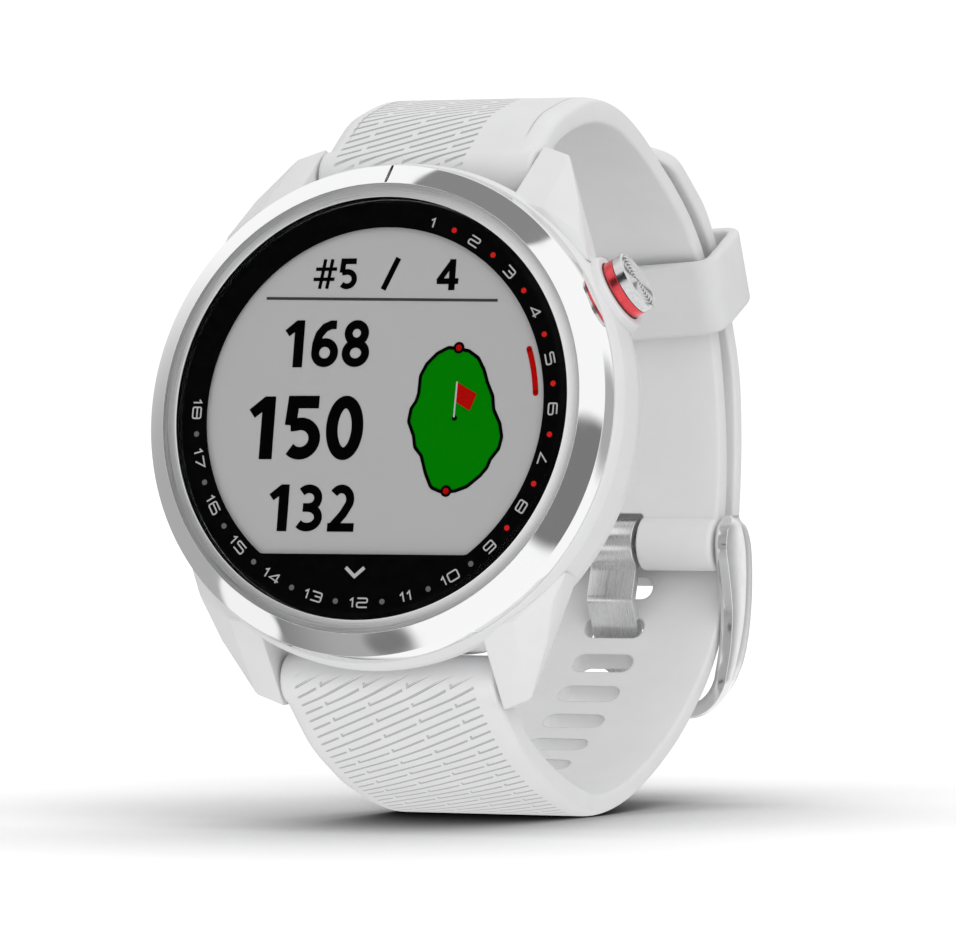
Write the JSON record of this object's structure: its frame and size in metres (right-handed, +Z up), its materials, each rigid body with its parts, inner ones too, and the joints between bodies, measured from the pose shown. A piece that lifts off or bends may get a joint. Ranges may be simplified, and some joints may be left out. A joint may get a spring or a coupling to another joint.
{
  "type": "golf gps watch",
  "caption": "Round sports wristwatch with a steel bezel, white case, side button and a white strap closed by a pin buckle into a standing loop.",
  "frame": {"origin": "centre of the case back's flat outer face", "axes": "+Z up with the watch standing on its strap loop, +X towards the 3 o'clock side, -Y the way the dial faces; the case leans back 10 degrees"},
  "size_m": [0.0438, 0.0627, 0.0624],
  "materials": {
    "white_polymer": "satin",
    "white_silicone": "matte",
    "polished_steel": "polished",
    "brushed_steel": "brushed",
    "red_anodised": "anodised, satin",
    "cover_glass": "polished",
    "black_ink": "matte",
    "display_grey": "matte",
    "black_rubber": "matte",
    "dark_plastic": "matte",
    "white_film": "matte",
    "board_green": "satin",
    "tin_plate": "satin",
    "battery_foil": "satin",
    "gold_plate": "polished"
  },
  "bodies": {
    "watch": {"case_body": "white_polymer", "bezel": "polished_steel", "bezel_gasket": "black_rubber", "case_back": "white_polymer", "back_gasket": "black_rubber", "back_screw_1": "brushed_steel", "back_screw_2": "brushed_steel", "back_screw_3": "brushed_steel", "back_screw_4": "brushed_steel", "lens_glass": "cover_glass", "dial_mask": "black_ink", "lens_adhesive": "black_rubber", "display_panel": "display_grey", "backlight": "white_film", "mid_frame": "dark_plastic", "main_board": "board_green", "shield_can": "tin_plate", "gps_antenna": "gold_plate", "battery": "battery_foil", "vibration_motor": "tin_plate", "charge_port": "dark_plastic", "charge_contact_1": "gold_plate", "charge_contact_2": "gold_plate", "charge_contact_3": "gold_plate", "charge_contact_4": "gold_plate", "tactile_switch": "dark_plastic", "spring_bar_upper": "brushed_steel", "spring_bar_lower": "brushed_steel", "strap_long": "white_silicone", "strap_short": "white_silicone", "buckle_bar": "brushed_steel"},
    "button": {"button_cap": "brushed_steel", "button_ring": "red_anodised", "button_stem": "brushed_steel", "button_seal": "black_rubber"},
    "upper_pin": {"release_pin_upper": "polished_steel"},
    "lower_pin": {"release_pin_lower": "polished_steel"},
    "keeper": {"strap_keeper": "white_silicone"},
    "buckle_frame": {"buckle_frame": "polished_steel"},
    "buckle_tongue": {"buckle_tongue": "brushed_steel"}
  },
  "joints": [
    {"name": "button_press", "type": "slide", "parent": "watch", "child": "button", "axis": [-0.866, -0.0868, -0.4924], "range_m": [0, 0.0005], "stiffness_N_per_m": 2000},
    {"name": "upper_pin_release", "type": "slide", "parent": "watch", "child": "upper_pin", "axis": [1, 0, 0], "range_m": [0, 0.0013], "stiffness_N_per_m": 500},
    {"name": "lower_pin_release", "type": "slide", "parent": "watch", "child": "lower_pin", "axis": [1, 0, 0], "range_m": [0, 0.0013], "stiffness_N_per_m": 500},
    {"name": "keeper_slide", "type": "hinge", "parent": "watch", "child": "keeper", "pos_m": [0, 0.01575, -0.00268], "axis": [1, 0, 0], "range_deg": [-3.5, 11]},
    {"name": "buckle_open", "type": "hinge", "parent": "watch", "child": "buckle_frame", "pos_m": [0, 0.04236, -0.01033], "axis": [1, 0, 0], "range_deg": [0, 75]},
    {"name": "tongue_play", "type": "hinge", "parent": "watch", "child": "buckle_tongue", "pos_m": [0, 0.04236, -0.01033], "axis": [1, 0, 0], "range_deg": [-1, 1]}
  ]
}
